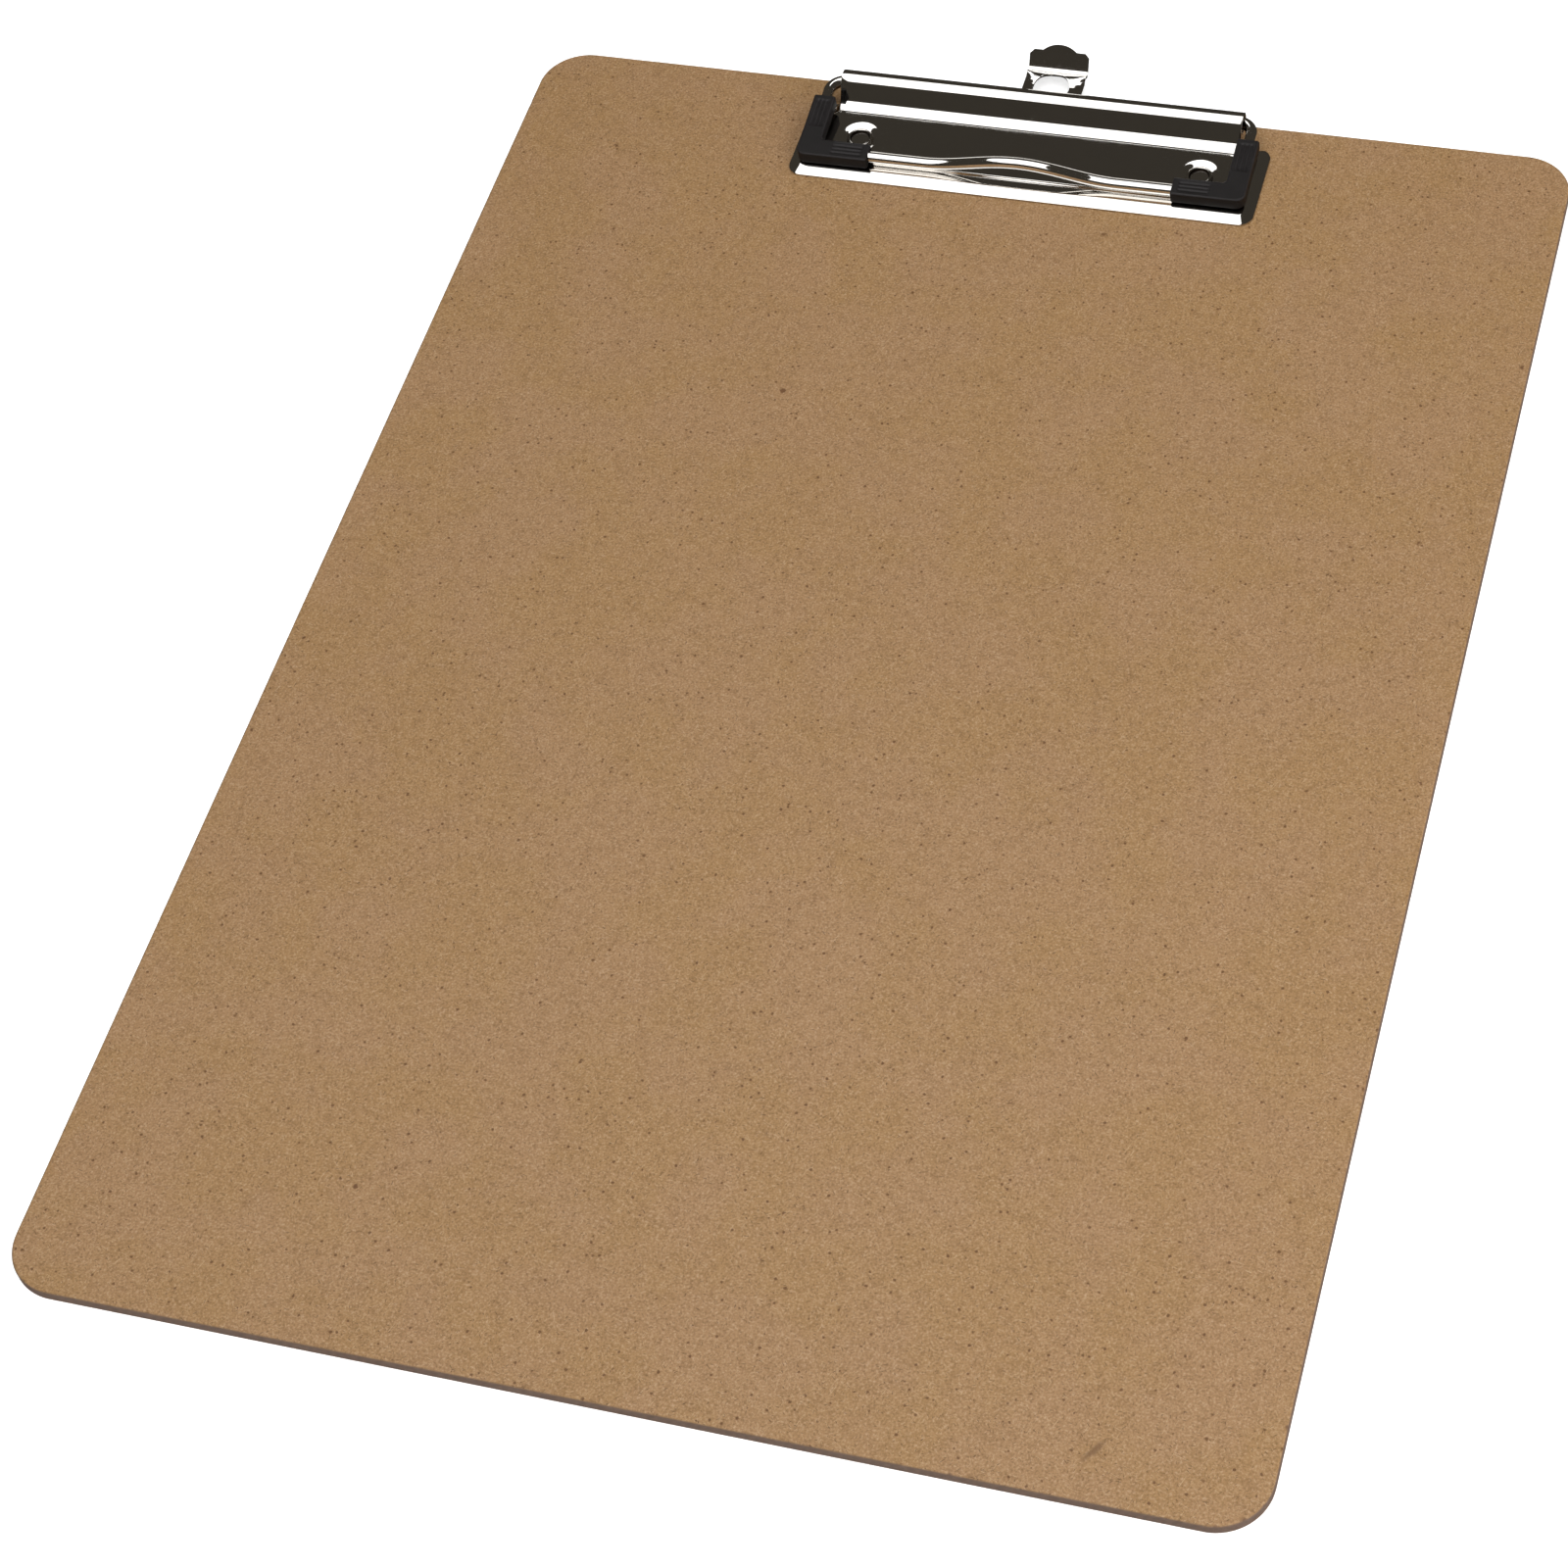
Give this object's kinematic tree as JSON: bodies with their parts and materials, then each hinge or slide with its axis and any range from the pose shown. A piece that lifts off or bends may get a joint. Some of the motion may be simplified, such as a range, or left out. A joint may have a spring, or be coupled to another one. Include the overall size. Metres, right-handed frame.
{
  "type": "clipboard",
  "caption": "Hardboard clipboard that holds paper under a sprung wire bail with rubber corners, with a pull-out tab for hanging it on a nail.",
  "frame": {"origin": "middle of the board's back face, on the plane the board lies on", "axes": "+Z out of the board's front face, +Y towards the clip end, +X to the right as seen from the front"},
  "size_m": [0.225, 0.3278, 0.01],
  "materials": {
    "hardboard": "smooth pressed fibre with fine specks, dull",
    "chrome": "bright plated",
    "nickel": "bright plated",
    "rubber": "satin moulded"
  },
  "bodies": {
    "board": {"board_panel": "hardboard", "clip_base_plate": "chrome", "tubular_rivet_left": "nickel", "tubular_rivet_right": "nickel"},
    "bail": {"bail_wire": "chrome", "corner_cover_left": "rubber", "corner_cover_right": "rubber"},
    "tab": {"hanger_tab": "chrome"}
  },
  "joints": [
    {"name": "bail_hinge", "type": "hinge", "parent": "board", "child": "bail", "pos_m": [0, 0.1529, 0.00733], "axis": [-1, 0, 0], "range_deg": [0, 95], "stiffness_Nm_per_rad": 0.12, "springref_deg": -34.38},
    {"name": "tab_slide", "type": "slide", "parent": "board", "child": "tab", "axis": [0, 1, 0], "range_m": [-0.0095, 0]}
  ]
}
